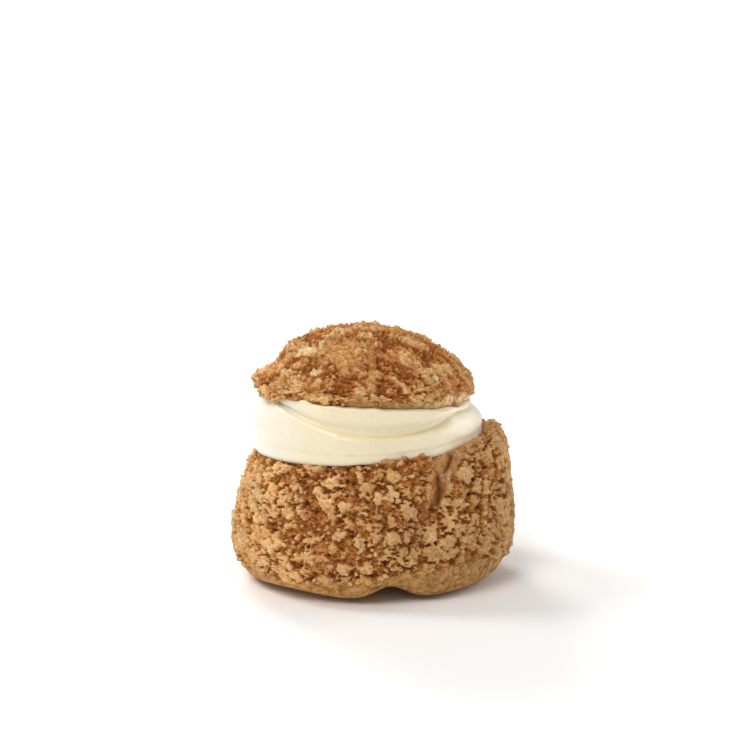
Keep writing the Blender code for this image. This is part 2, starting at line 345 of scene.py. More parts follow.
def swell(point):
    """Slow lumps of the whole form, from -1 to 1."""
    return noise.noise(point / SWELL_LENGTH)


def pinch_azimuth(height):
    up = height / CUT_HEIGHT
    return PINCH_FOOT_AZIMUTH + (PINCH_TOP_AZIMUTH - PINCH_FOOT_AZIMUTH) * up


def base_form(azimuth, wide, high):
    """A point of the base without its crust."""
    radius, height = wide * BASE_RADIUS, high * CUT_HEIGHT
    off_pinch = angle_to(azimuth, pinch_azimuth(height)) * max(radius, LIP_RADIUS / 2)
    side = ramp(0.5, 0.75, wide)
    folded = ramp(PINCH_FROM, PINCH_FULL, height) * ramp(0.74, 0.9, wide)
    radius -= PINCH_DEPTH * bell(off_pinch, PINCH_WIDTH) * folded
    radius += 0.35 * PINCH_DEPTH * bell(abs(off_pinch) - 2.4 * PINCH_WIDTH, 2 * PINCH_WIDTH) * folded
    direction = outward(azimuth)
    lump = swell(direction * BASE_RADIUS + above(height))
    free = ramp(0.62, 0.80, wide) * ramp(0.0, 0.2, high)
    free *= 1.0 - ramp(0.80, 1.0, high) * fade(0.82, 0.95, wide)
    radius += SWELL * lump * free
    point = direction * radius
    point.y *= BASE_DEPTH_SHARE
    point.x += BASE_LEAN * (height - LEAN_FROM) * side
    inward = ramp(ARCH_INNER_RADIUS, ARCH_OUTER_RADIUS, radius)
    lift = ARCH_HEIGHT * bell(off_pinch, ARCH_WIDTH) * inward
    point.z = height + lift * fade(0.0, ARCH_TOP, height)
    point.z += math.tan(CUT_TILT) * point.x * high**2
    lip = bell(radius - LIP_RADIUS, LIP_WIDTH) * facing(azimuth, LIP_AZIMUTH, LIP_SPAN)
    point.z += LIP_HEIGHT * (lip * ramp(0.5, 0.9, high))
    return point


def coil(share):
    """A coil's bulge, 0 at its edges (share -1 and 1) and 1 halfway."""
    return max(1.0 - share * share, 0.0) ** COIL_ROUNDNESS


def cream_form(azimuth, wide, side_share, top_at):
    """A point of the cream over its own underside. top_at(x, y) is the height of the lid's underside."""
    swing = math.cos(2.0 * angle_to(azimuth, SEAM_AZIMUTH))
    seam_radius = SEAM_RADIUS + SEAM_RADIUS_SWING * swing
    direction = outward(azimuth)
    rim = direction * seam_radius
    top = top_at(rim.x, rim.y)
    seam = min(SEAM_HEIGHT - SEAM_SWING * swing, top - SEAM_UNDER_LID)
    if side_share < SEAM_SHARE:
        up = side_share / SEAM_SHARE
        height = up * seam
        if up > CREAM_BELLY:
            over = (up - CREAM_BELLY) / (1.0 - CREAM_BELLY)
            radius = seam_radius + (CREAM_RADIUS - seam_radius) * coil(over)
        else:
            radius = CREAM_RADIUS - CREAM_FOOT_TUCK * (1.0 - coil(1.0 - up / CREAM_BELLY))
    else:
        up = (side_share - SEAM_SHARE) / (1.0 - SEAM_SHARE)
        height = seam + up * (top - seam)
        radius = seam_radius + UPPER_COIL_BULGE * coil(1.4 * up - 1.0)
    radius += CREAM_SWELL * swell(direction * radius + above(height))
    point = direction * radius * wide
    point.z = height / top * top_at(point.x, point.y)
    return point


def lid_form(azimuth, wide, high):
    """A point of the lid over the middle of its own underside, without its crust."""
    direction = outward(azimuth)
    edge = ramp(0.5, 1.0, wide)
    corner = LID_CORNER * facing(azimuth, LID_CORNER_AZIMUTH, LID_CORNER_SPAN) * edge
    low = (1.0 + math.cos(angle_to(azimuth, LID_LOW_AZIMUTH))) / 2
    wall = LID_WALL * (1.0 - low) * bell(high - 0.3, 0.25)
    point = direction * wide * LID_RADIUS * (1.0 + corner + wall)
    point.y *= LID_DEPTH_SHARE
    shoulder = ramp(0.65, 0.93, wide) * fade(0.98, 1.02, wide)
    point.z = high * LID_RISE * (1.0 - LID_LOW_DROP * low * shoulder)
    lump = swell(point + above(LID_Z))
    free = ramp(0.02, 0.2, high)
    return point + (direction * wide + above(1.0 - wide)) * SWELL * lump * free


def cream_place():
    middle = Vector((CREAM_X, 0.0, CUT_HEIGHT + math.tan(CUT_TILT) * CREAM_X + GAP))
    return Matrix.Translation(middle) @ Matrix.Rotation(-CUT_TILT, 4, "Y")


def lid_place():
    return Matrix.Translation((LID_X, 0.0, LID_Z)) @ Matrix.Rotation(LID_TILT, 4, "Y")


# --- grids ---


def quad_ball(cuts):
    """A unit ball of even quads, from a cube cut into a grid."""
    grid = bmesh.new()
    bmesh.ops.create_cube(grid, size=2.0)
    bmesh.ops.subdivide_edges(grid, edges=grid.edges[:], cuts=cuts, use_grid_fill=True)
    for vertex in grid.verts:
        vertex.co = Vector([math.tan(c * math.pi / 4) for c in vertex.co]).normalized()
    return grid


def wrap(grid, outline, form):
    """Moves a unit ball's vertices onto form(azimuth, wide, high), and lists those three."""
    where = []
    for vertex in grid.verts:
        radius, height = outline.at((1.0 + vertex.co.z) / 2)
        azimuth = math.atan2(vertex.co.y, vertex.co.x)
        where.append((azimuth, radius, height))
        vertex.co = form(azimuth, radius, height)
    grid.normal_update()
    return where


def wrap_cream(cuts):
    """The cream's grid, over its own underside, and where its vertices lie."""
    under_lid = cream_place().inverted() @ lid_place()
    normal = under_lid.col[2].to_3d()
    below = under_lid.translation - normal * GAP

    def top_at(x, y):
        return below.z - (normal.x * (x - below.x) + normal.y * (y - below.y)) / normal.z

    def form(azimuth, wide, height):
        return cream_form(azimuth, wide, height / CREAM_SIDE, top_at)

    grid = quad_ball(cuts)
    return grid, wrap(grid, CREAM_OUTLINE, form)


def patch(point, middle_size):
    """1 on a patch with ragged edges, falling to 0 round it."""
    off, size = point - middle_size[0], middle_size[1]
    far = Vector((off.x / size.x, off.y / size.y, off.z / size.z)).length
    return fade(0.8, 1.1, far + waves(point, PATCH_WAVES))


def near_line(point, ends, width):
    """1 on a straight line between two ends, falling to 0 beside it."""
    nearest, along = intersect_point_line(point, *ends)
    return bell((point - nearest).length, width) * fade(0.9, 1.1, abs(2.0 * along - 1.0))


def place_in_frame():
    """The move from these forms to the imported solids, whose common box is centred over the origin."""
    grid, _ = wrap_cream(SOLID_CREAM_CUTS)
    spots = [cream_place() @ vertex.co for vertex in grid.verts]
    grid.free()
    low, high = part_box("cream")
    move = [(low[i] + high[i] - min(s[i] for s in spots) - max(s[i] for s in spots)) / 2 for i in (0, 1)]
    return Matrix.Translation((*move, 0.0))


def added(name, data):
    """A new object in the scene."""
    made = bpy.data.objects.new(name, data)
    bpy.context.scene.collection.objects.link(made)
    return made


def finished(name, grid, moves, place, material, names, rows):
    """A smooth-shaded piece from this grid, with its vertices moved and a row of named notes on each."""
    for vertex, move in zip(grid.verts, moves):
        vertex.co += move
    mesh = bpy.data.meshes.new(name)
    grid.to_mesh(mesh)
    grid.free()
    mesh.transform(place)
    for note, values in zip(names, zip(*rows)):
        mesh.attributes.new(note, "FLOAT", "POINT").data.foreach_set("value", values)
    mesh.materials.append(material)
    mesh.shade_smooth()
    return added(name, mesh)


# --- the crust, grain by grain ---

NOTES = ("crust", "tone", "edge", "bare", "pale", "painted_crease_shade", "cut")  # what the crust's finish reads, by vertex


def lumps(place, heaps):
    """The height, round 0, of rounded lumps of a few sizes with creases between them."""
    height = 0.0
    for apart, high in heaps:
        height += high * (1.0 - 2.0 * noise.voronoi(bent(place / apart, HEAP_BENDS))[0][0])
    return height


class Crust:
    """Grains of crumb that cling together in plates."""

    def __init__(self, size, cracked, jumble, low, stretched, gap):
        """size is the plates', cracked how deep their cracks are, from 0 to 1, jumble how mixed they are, low
        how high the crumbs between them are, stretched(point) where to look a place up, and gap(point) how
        wide the gaps between the plates are, as a share of a plate."""
        self.size, self.cracked, self.jumble, self.low = size, cracked, jumble, low
        self.stretched, self.gap, self.known = stretched, gap, {}

    def plate(self, point):
        """(distance, luck) of the plate here. The distance from its cracks is 0 in them, 0.5 far inside."""
        place = bent(self.stretched(point) / self.size, PLATE_BENDS)
        near, spots = noise.voronoi(place)[:2]
        return near[1] - near[0] + 0.2 * noise.noise(place * 3.3), chance(spots[0])

    def grain(self, spot):
        """(height, tone) of the grain round this feature point: on a plate, a lower crumb or bare skin."""
        key = spot.to_tuple()
        if key not in self.known:
            point = spot * GRAIN
            inside, plate_luck = self.plate(point)
            luck, tone = chance(spot), chance(spot + Vector((0.31, 0.17, 0.53)))
            reach = inside - self.gap(point) + self.jumble * (luck - 0.5)
            if plate_luck < SUNKEN:
                reach -= 0.2
            if reach > 0.0:
                height = 0.82 + 0.22 * plate_luck + 0.16 * tone
            else:
                height = self.low + 0.30 * tone if reach > -0.4 else 0.5 * self.low * tone
            self.known[key] = (height, 0.5 * plate_luck + 0.5 * tone)
        return self.known[key]

    def at(self, point, normal, shown):
        """(level, tone, edge, slide) at a point: the crust's height, its grain's tone, how near the plate's
        edge lies, and the way along the skin to that edge where it is closer than a cell."""
        if shown <= 0.01:
            return 0.0, 0.5, 0.0, Vector()
        near, spots = noise.voronoi(bent(point / GRAIN, GRAIN_BENDS))[:2]
        height, tone = self.grain(spots[0])
        wall, toward = 1.0, None
        for other, distance in zip(spots[1:], near[1:]):
            if abs(self.grain(other)[0] - height) > 0.2:
                across = other - spots[0]
                gap = (distance**2 - near[0] ** 2) / (2.0 * across.length)
                if gap < wall:
                    wall, toward = gap, across.normalized()
        notch = GRAIN_NOTCH * fade(0.0, 0.25, near[1] - near[0])
        crack = fade(-0.05, 0.08, self.plate(point)[0])
        level = (height - notch) * (1.0 - self.cracked * crack)
        slide = Vector()
        if toward and wall * GRAIN < 0.62 * CELL:
            flat = toward - normal * toward.dot(normal)
            if flat.length > 0.45:
                slide = flat.normalized() * max(wall * GRAIN / flat.length - WALL, 0.0)
        return max(level, 0.0), tone, fade(0.0, 0.45, wall), slide


def foot_line(azimuth):
    """The height at which the base's crust ends."""
    dip = FOOT_DIP * facing(azimuth, FOOT_DIP_AZIMUTH, FOOT_SPAN)
    rise = FOOT_RISE * facing(azimuth, FOOT_RISE_AZIMUTH, FOOT_SPAN)
    return FOOT_LINE - dip + rise + FOOT_WAVE * noise.noise(outward(azimuth) * 1.6)


def along_fold(places, height):
    """The place across the pinch at this height, from those at the fold's foot and at the rim."""
    up = (height - FOLD_FOOT) / (FOLD_RIM - FOLD_FOOT)
    return places[0] + (places[1] - places[0]) * up * abs(up)


def bare_fold(across, height):
    """1 on the bare skin of the fold, 0 beside and below it."""
    left, right = (along_fold(places, height) for places in (FOLD_LEFT, FOLD_RIGHT))
    inside = min(across - left, right - across)
    over_foot = ramp(FOLD_FOOT - 1.0 * MM, FOLD_FOOT + 1.0 * MM, height)
    return ramp(-0.5 * MM, 0.5 * MM, inside) * over_foot


def fold(across, height):
    """(ridge, crease) from 0 to 1: how near the fold's ridge and the nearest of its creases lie."""
    ridge = bell(across - along_fold(RIDGE, height), RIDGE_WIDTH) * ramp(18.0 * MM, 22.0 * MM, height)
    ridge *= 1.0 - 0.7 * ramp(32.0 * MM, 35.0 * MM, height)
    ridge *= 0.85 + 0.6 * noise.noise(Vector((height / (2.5 * MM), 5.3, 0.0)))
    crease = 0.0
    for foot, rim, low, high in CREASES:
        run = ramp(low - CREASE_RUN, low + CREASE_RUN, height)
        run *= fade(high - CREASE_RUN, high, height)
        crease = max(crease, bell(across - along_fold((foot, rim), height), CREASE_WIDTH) * run)
    return ridge, crease


def strand(across, height, long, layer):
    """Noise drawn out along the pinch."""
    return noise.noise(Vector((across / STRAND, height / long, layer)))


def make_base(material, shift):
    grid = quad_ball(BASE_CUTS)
    where = wrap(grid, BASE_OUTLINE, base_form)
    cream_axis = cream_place().translation

    def gap(point):
        up = ramp(0.3, 0.75, point.z / CUT_HEIGHT)
        sides = ramp(0.55, 0.95, abs(point.x) / BASE_RADIUS)
        return 0.11 + 0.08 * up + 0.14 * noise.noise(point / (8.0 * MM)) - 0.08 * sides

    crust = Crust(PLATE, cracked=0.4, jumble=0.24, low=0.36, stretched=lambda point: point, gap=gap)
    notes, moves = [], []
    for vertex, (azimuth, wide, high) in zip(grid.verts, where):
        height = high * CUT_HEIGHT
        ragged = FOOT_RAGGED * noise.noise(vertex.co / RAGGED_LENGTH)
        covered = ramp(0.0, 1.2 * MM, height - foot_line(azimuth) + ragged)
        across = angle_to(azimuth, pinch_azimuth(height)) * BASE_RADIUS
        across += 0.4 * MM * noise.noise(Vector((height / (3.0 * MM), 0.0, 3.7)))
        folded = bare_fold(across + 0.5 * ragged, height)
        off_cream = (vertex.co - cream_axis).to_2d().length - (CREAM_RADIUS - CREAM_FOOT_TUCK)
        outside = ramp(-0.5 * RIM_RAMP, 0.5 * RIM_RAMP, off_cream) if high > 0.9 else 1.0
        outside *= ramp(0.5, 0.7, wide)
        ridge, crease = fold(across, height)
        shown = ramp(0.80, 0.86, wide)
        lie = covered * outside * (1.0 - folded) * (1.0 - 0.6 * ridge * shown)
        here, shade, wall, slide = crust.at(vertex.co, vertex.normal, lie)
        left = ramp(-0.2, 0.9, -math.cos(azimuth)) * ramp(0.2, 0.7, high)
        flat = 0.3 * ramp(0.6, 0.75, here) * (1.0 - left)
        heap = lumps(vertex.co, HEAPS) * (1.0 + 0.3 * left - flat) * lie
        rough = GRIT_HEIGHT * waves(vertex.co, GRIT_WAVES) * lie
        free = outside * ramp(0.02, 0.08, high)
        strands = 0.30 * MM * strand(across, height, 6.0 * MM, 0.0)
        strands += 0.55 * MM * strand(across / 2.0, height, 8.0 * MM, 4.0)
        relief = waves(vertex.co, SKIN_WAVES) + strands * folded
        relief += (RIDGE_HEIGHT * ridge - CREASE_DEPTH * crease) * shown
        rise = (RELIEF * here - CRACK_DEPTH) * lie - BASE_SLIMMER * free
        move = vertex.normal * (rise + heap + rough + relief * free) + slide * lie
        foot = facing(azimuth, FOOT_LIFT_AZIMUTH, 0.45) * ramp(0.55, 0.8, wide)
        move.z += FOOT_LIFT * foot * fade(0.05, 0.3, high)
        moves.append(move)
        # The colour follows this level: plates and lower crumbs differ in colour in themselves, and the lumps
        # and grit added here paint their hollows darker and their tops paler, as painted shade and highlight
        level = max(here * lie + 0.45 * heap / MM + 0.9 * rough / MM, 0.75 * ridge * shown)
        bare = 1.0 - covered * (1.0 - folded)
        streak = ramp(0.1, 0.5, strand(across, height, 5.0 * MM, 9.0))
        pale = max(0.35 * patch(vertex.co, BASE_GLAZED), (0.08 + 0.6 * streak) * folded * (1.0 - crease))
        # Painted shade in the fold: darker in its creases, low down in it and in the hollows between its
        # strands
        deep = 0.02 + 0.30 * fade(26.0 * MM, 31.0 * MM, height) - 1.3 * strands / MM
        painted_crease_shade = max(1.1 * crease, folded * deep) * shown
        cut = (1.0 - outside) * ramp(0.5, 0.9, high)
        notes.append((level, shade, wall * lie, bare, pale, painted_crease_shade, cut))
    return finished("base_bun", grid, moves, shift, material, NOTES, notes)


def lid_hang(azimuth):
    """How much higher the lid's lower edge hangs here than its solid's."""
    hang = LID_DROOP * noise.noise((outward(azimuth) + above(0.3)) * 7.0)
    hang += LID_LIFT * facing(azimuth, LID_LOW_AZIMUTH, LID_LIFT_SPAN)
    for middle, span, high in LID_EDGE:
        hang += high * facing(azimuth, middle, span)
    return hang


def make_cream(material, shift):
    grid, where = wrap_cream(CREAM_CUTS)
    seam = []
    for vertex, (_, wide, height) in zip(grid.verts, where):
        if wide > 0.9 and abs(height / CREAM_SIDE - SEAM_SHARE) < SEAM_SOFT:
            seam.append(vertex)
    for _ in range(SEAM_ROUNDS):
        bmesh.ops.smooth_vert(grid, verts=seam, factor=0.5, use_axis_x=True, use_axis_y=True, use_axis_z=True)
    grid.normal_update()
    deep, moves = [], []
    for vertex, (azimuth, wide, height) in zip(grid.verts, where):
        side = height / CREAM_SIDE
        open_side = ramp(0.95, 1.0, wide)
        off_seam = angle_to(azimuth, SEAM_AZIMUTH)
        beside = 0.5 - 0.5 * math.cos(off_seam)
        ripple = waves(Vector((vertex.co.x, vertex.co.y, 1.3 * vertex.co.z)), CREAM_WAVES)
        fill = SEAM_FILL * bell(side - SEAM_SHARE, 0.10) + FOOT_FILL * fade(0.0, 0.10, side)
        belly = CREAM_LEFT_BELLY * bell(side - 0.24, 0.14) * facing(azimuth, math.pi, 0.7)
        lean = COIL_LEAN * ramp(0.22, 0.5, side) * fade(0.5, 0.55, side) * beside**2
        out = COIL_BRIM * ramp(0.58, 0.85, side) * (1.0 - beside) ** 2
        leaning = bell(abs(off_seam) - UPPER_LEAN_OFF, UPPER_LEAN_SPAN)
        out -= UPPER_LEAN * ramp(0.48, 0.6, side) * leaning
        out += SEAM_CLOSED_FILL * facing(azimuth, SEAM_CLOSED_AZIMUTH, 0.5) * bell(side - SEAM_SHARE, 0.12)
        far_out = ramp(0.5, 1.0, wide)
        move = vertex.normal * (ripple + fill + belly - lean) * open_side + outward(azimuth) * (far_out * out)
        move.z -= (GAP + CREAM_SINK) * fade(0.0, 0.12, side)
        front = ramp(0.0, 0.3, -math.sin(azimuth))
        lifted = max(lid_hang(azimuth), 0.0) * far_out * front
        move.z += (GAP + CREAM_SINK + lifted) * ramp(0.7, 1.0, side)
        end = SEAM_END_RISE * facing(azimuth, SEAM_END_AZIMUTH, 0.45) * open_side
        move.z += end * ramp(0.2, 0.5, side) * fade(0.5, 1.0, side)
        moves.append(move)
        # Painted shade: the cream is made yellower and darker along the seam's line at the front and under
        # the lid's edge
        line_in = 0.75 * bell(side - SEAM_SHARE, 0.06) * fade(0.02, 0.25, beside)
        deep.append([max(line_in, 0.3 * ramp(0.9, 1.0, side))])
    return finished("cream_filling", grid, moves, shift @ cream_place(), material, ["deep"], deep)


def make_lid(material, shift):
    grid = quad_ball(LID_CUTS)
    where = wrap(grid, LID_OUTLINE, lid_form)

    def stretched(point):
        place = point + Vector((point.x, point.y, 0.0)) * (1.0 / LID_STRETCH - 1.0)
        off = place - LID_DRAWN_FROM - above(LID_Z)
        drawn = LID_DRAWN_SHARE * ramp(0.0, LID_DRAWN_RAMP, off.x)
        return place - drawn * off.dot(LID_DRAWN) * LID_DRAWN

    def gap(point):
        on_lid = point - above(LID_Z)
        low = 0.10 * fade(5.0 * MM, 9.0 * MM, on_lid.z)
        return 0.14 - low + 0.12 * noise.noise(point / (7.0 * MM)) + max(patch(on_lid, PULLED), glaze(on_lid))

    def glaze(point):
        return max(patch(point, spot) for spot in GLAZED)

    def ridge(azimuth, wide):
        """Ridges that run down the dome, as a height round 0."""
        around = outward(azimuth) * (0.7 * LID_RADIUS / LID_RIDGE)
        place = around + above(wide * LID_RADIUS / (3.0 * LID_RIDGE))
        return LID_RIDGE_HEIGHT * (0.5 - noise.voronoi(bent(place, RIDGE_BENDS))[0][0])

    crust = Crust(LID_PLATE, cracked=0.2, jumble=0.3, low=0.50, stretched=stretched, gap=gap)
    notes, moves = [], []
    for vertex, (azimuth, wide, high) in zip(grid.verts, where):
        point = vertex.co + above(LID_Z)
        ragged = LID_RAGGED * noise.noise(vertex.co / RAGGED_LENGTH)
        right = (0.5 + 0.5 * math.cos(angle_to(azimuth, BARE_EDGE_AZIMUTH))) ** 4
        edge = high + 1.4 * ragged * (1.0 + right)
        covered = ramp(0.13 * right, 0.05 + 0.18 * right, edge)
        here, shade, wall, slide = crust.at(point, vertex.normal, covered)
        free = ramp(0.0, 0.08, high)
        glazed, pulled = glaze(vertex.co), patch(vertex.co, PULLED)
        smooth = max(pulled, glazed)
        groove = near_line(vertex.co, GROOVE, GROOVE_WIDTH)
        torn = near_line(vertex.co, TORN_EDGE, TORN_WIDTH)
        ridged = ramp(-0.2, 0.7, math.cos(azimuth - LID_RIDGED_AZIMUTH))
        ridged *= ramp(0.15, 0.4, wide)
        heap = lumps(stretched(point), LID_HEAPS) * (1.0 - 0.7 * ridged)
        heap += ridge(azimuth, wide) * ridged
        heap = (heap - LID_HEAP_CUT) * ramp(0.05, 0.3, high) * (1.0 - 0.5 * smooth)
        drawn = waves(point - 0.72 * PULL * point.dot(PULL), FIBRE_WAVES)
        rough = GRIT_HEIGHT * waves(point, GRIT_WAVES) * covered * (1.0 - smooth)
        wrinkled = 0.25 * MM * noise.noise(point / (1.3 * MM)) * (1.0 - covered)
        shaped = FIBRE_HEIGHT * drawn * smooth + TORN_HEIGHT * torn - GROOVE_DEPTH * groove + wrinkled
        rise = (RELIEF * here - CRACK_DEPTH) * covered * (1.0 - 0.9 * smooth) - 0.25 * MM * smooth
        rise -= LID_SLIMMER * bell(high - 0.48, 0.3) * ramp(-0.1, 0.9, -math.cos(azimuth))
        rise += LID_TOP * ramp(0.6, 1.0, high)
        relief = waves(vertex.co, SKIN_WAVES) + heap + shaped + rough
        move = vertex.normal * (rise + relief * free) + 0.6 * slide * covered
        low = ramp(0.85, 0.95, wide) * fade(0.1, 0.35, high)
        move.z += lid_hang(azimuth) * low
        moves.append(move)
        # The colour follows this level: plates and lower crumbs differ in colour in themselves, the lumps and
        # grit paint their hollows darker and their tops paler, and the groove is painted darker, as painted
        # shade and highlight
        level = here * covered + 0.60 * heap / MM + 0.9 * rough / MM - 0.8 * groove
        bare = max(1.0 - covered, smooth, torn)
        # painted highlights: the crests of the pulled fibres and the tops of the ridges on the right are
        # painted paler
        streak = ramp(0.15, 0.5, drawn)
        painted_ridge_highlight = 0.7 * ridged * ramp(0.1, 0.6, heap / MM) * ramp(0.4, 0.8, here)
        pale = max(glazed, 0.7 * streak * pulled, torn, painted_ridge_highlight, right * (1.0 - covered))
        # painted shade in the groove and in the hollows between the pulled fibres
        painted_crease_shade = max(groove, 0.6 * ramp(0.0, 0.4, -drawn) * pulled)
        cut = fade(0.0, 0.03, high)
        notes.append((level, shade, wall * covered, bare, pale, painted_crease_shade, cut))
    return finished("lid_bun", grid, moves, shift @ lid_place(), material, NOTES, notes)


# --- finishes ---


class Nodes:
    """A node tree and short ways to add nodes to it."""

    def __init__(self, tree):
        self.tree = tree

    def node(self, kind, inputs=None, **settings):
        made = self.tree.nodes.new(kind)
        for setting, value in settings.items():
            setattr(made, setting, value)
        for socket, value in (inputs or {}).items():
            self.put(value, made.inputs[socket])
        return made

    def out(self, kind, socket, inputs=None, **settings):
        """One output of a new node."""
        return self.node(kind, inputs, **settings).outputs[socket]

    def put(self, value, socket):
        if isinstance(value, bpy.types.NodeSocket):
            self.tree.links.new(value, socket)
        else:
            socket.default_value = value

    def times(self, a, b):
        return self.out("ShaderNodeMath", 0, {0: a, 1: b}, operation="MULTIPLY")

    def vector(self, a, b, operation):
        return self.out("ShaderNodeVectorMath", "Vector", {0: a, 1: b}, operation=operation)


class Finish(Nodes):
    """A material and short ways to build its look."""

    def __init__(self, name):
        self.material = bpy.data.materials.new(name)
        self.material.use_nodes = True
        super().__init__(self.material.node_tree)
        self.shader = self.tree.nodes["Principled BSDF"]

    def place(self):
        return self.out("ShaderNodeTexCoord", "Object")

    def along(self, axis):
        return self.out("ShaderNodeSeparateXYZ", axis, {"Vector": self.place()})

    def note(self, name):
        return self.out("ShaderNodeAttribute", "Fac", attribute_name=name)

    def speckle(self, size, detail=3.0, roughness=0.6, stretch=None):
        """A noise pattern with features of this size."""
        where = self.place()
        if stretch:
            where = self.out("ShaderNodeMapping", "Vector", {"Vector": where, "Scale": stretch})
        look = {"Vector": where, "Scale": 1.0 / size, "Detail": detail, "Roughness": roughness}
        return self.out("ShaderNodeTexNoise", "Fac", look)

    def cells(self, size):
        """(distance, luck) of the nearest of many points about this far apart."""
        made = self.node("ShaderNodeTexVoronoi", {"Vector": self.place(), "Scale": 1.0 / size}).outputs
        return made["Distance"], self.out("ShaderNodeSeparateColor", "Red", {"Color": made["Color"]})

    def between(self, value, low, high, to_low=0.0, to_high=1.0):
        ends = {"Value": value, "From Min": low, "From Max": high, "To Min": to_low, "To Max": to_high}
        return self.out("ShaderNodeMapRange", "Result", ends, interpolation_type="SMOOTHSTEP")

    def blend(self, share, first, second, mode="MIX"):
        parts = {0: share, 6: first, 7: second}
        return self.out("ShaderNodeMix", 2, parts, data_type="RGBA", blend_type=mode)

    def shaded(self, tint, shade):
        """The colour times a number."""
        grey = self.out("ShaderNodeCombineColor", "Color", {"Red": shade, "Green": shade, "Blue": shade})
        return self.blend(1.0, tint, grey, "MULTIPLY")

    def bump(self, height, strength, distance, under=None):
        look = {"Height": height, "Strength": strength, "Distance": distance}
        if under:
            look["Normal"] = under
        return self.out("ShaderNodeBump", "Normal", look)

    def look(self, **values):
        """Sets the shader's sockets. A name's underscores stand for blanks."""
        for label, value in values.items():
            self.put(value, self.shader.inputs[label.replace("_", " ")])
        return self.material


def colour(*levels):
    """A colour as the eye reads it, 0 to 255, for a shader."""
    shares = [level / 255 for level in levels]
    return (*(s / 12.92 if s <= 0.04045 else ((s + 0.055) / 1.055) ** 2.4 for s in shares), 1.0)


CRUMB_PALE = colour(240, 206, 154)
CRUMB_TAN = colour(222, 178, 123)
CRUMB_GOLD = colour(206, 155, 95)
CRUMB_ORANGE = colour(196, 132, 70)
LOW_AMBER = colour(174, 108, 52)
# the browns at the bottom of the cracks, on base and lid: the bare skin's colour, darkened to paint the shade
# in them
CRACK_BROWN = colour(110, 54, 20)
LID_BROWN = colour(144, 78, 32)
CHOUX_GOLD = colour(206, 160, 98)
CHOUX_BROWN = colour(160, 104, 50)
CUT_CHOUX = colour(228, 198, 140)
# pale glaze and streaks, also used for painted highlights on the lid
GLAZE_AND_HIGHLIGHT_PALE = colour(240, 210, 158)
# whiter cream, the painted highlight on the cream's left
CREAM_PAINTED_HIGHLIGHT = colour(232, 226, 210)
CREAM_PALE = colour(233, 221, 191)
# yellower cream, the painted shade in the seam and under the lid
CREAM_PAINTED_SHADE = colour(238, 214, 158)
# darker cream, the painted shade in the bubbles' holes
CREAM_HOLE_SHADE = colour(220, 200, 152)

TOASTED_AREA = 9.0 * MM
FINE_GRIT = 0.35 * MM
PIT = 0.9 * MM
PAINTED_GLINT_SPACING = 0.6 * MM  # pale specks painted as glints, tiny painted highlights, lie about this far apart
# Painted light from left to right, paler on the left and darker on the right: where each change begins, where
# it ends, and how bright it is there
CRUMB_LIT = (-30.0 * MM, 34.0 * MM, 1.12, 0.86)
CHOUX_LIT = (-20.0 * MM, 30.0 * MM, 1.10, 0.82)
CREAM_LIT = (-28.0 * MM, -14.0 * MM)
# Bare choux has rings at the foot, strands from OFF_FOOT up, and wrinkles from ON_LID up
OFF_FOOT = (12.0 * MM, 16.0 * MM)
ON_LID = (40.0 * MM, 44.0 * MM)


def crumb_colour(made, tone):
    """Toasted crumb, paler or browner from grain to grain and over the bun, and painted paler on the left and
    darker on the right as painted light.
    """
    gold = made.blend(made.between(tone, 0.1, 0.9), CRUMB_GOLD, CRUMB_TAN)
    toast_and_painted_light = made.between(made.speckle(TOASTED_AREA, 2.0), 0.35, 0.65, 0.86, 1.05)
    # painted light: the crumb is made paler on the left and darker on the right
    toast_and_painted_light = made.times(toast_and_painted_light, made.between(made.along("X"), *CRUMB_LIT))
    grit = made.between(made.speckle(FINE_GRIT, 3.0, 0.65), 0.28, 0.72, 0.85, 1.12)
    return made.shaded(gold, made.times(toast_and_painted_light, grit))


def choux_colour(made, fine):
    """Bare choux, browner in its furrows, and painted paler on the left and darker on the right as painted
    light.
    """
    choux = made.blend(made.between(made.speckle(1.6 * MM, 5.0, 0.7), 0.36, 0.60), CHOUX_BROWN, CHOUX_GOLD)
    rings = made.between(made.speckle(1.0 * MM, 4.0, 0.65, (0.25, 0.25, 1.0)), 0.36, 0.60, 0.88, 1.12)
    folds = made.between(made.speckle(0.7 * MM, 3.0, 0.6, (1.0, 1.0, 0.2)), 0.36, 0.60, 0.80, 1.18)
    wrinkles = made.between(made.speckle(0.8 * MM, 3.0, 0.6), 0.36, 0.60, 0.80, 1.12)
    off_foot, on_lid = (made.between(made.along("Z"), *ends) for ends in (OFF_FOOT, ON_LID))
    pattern = made.blend(on_lid, made.blend(off_foot, rings, folds), wrinkles)
    choux = made.blend(1.0, choux, pattern, "MULTIPLY")
    choux = made.shaded(choux, made.between(fine, 0.25, 0.75, 0.84, 1.06))
    choux = made.blend(made.times(off_foot, 0.35), choux, CRUMB_ORANGE)
    # painted light: paler on the left, darker on the right
    return made.shaded(choux, made.between(made.along("X"), *CHOUX_LIT))


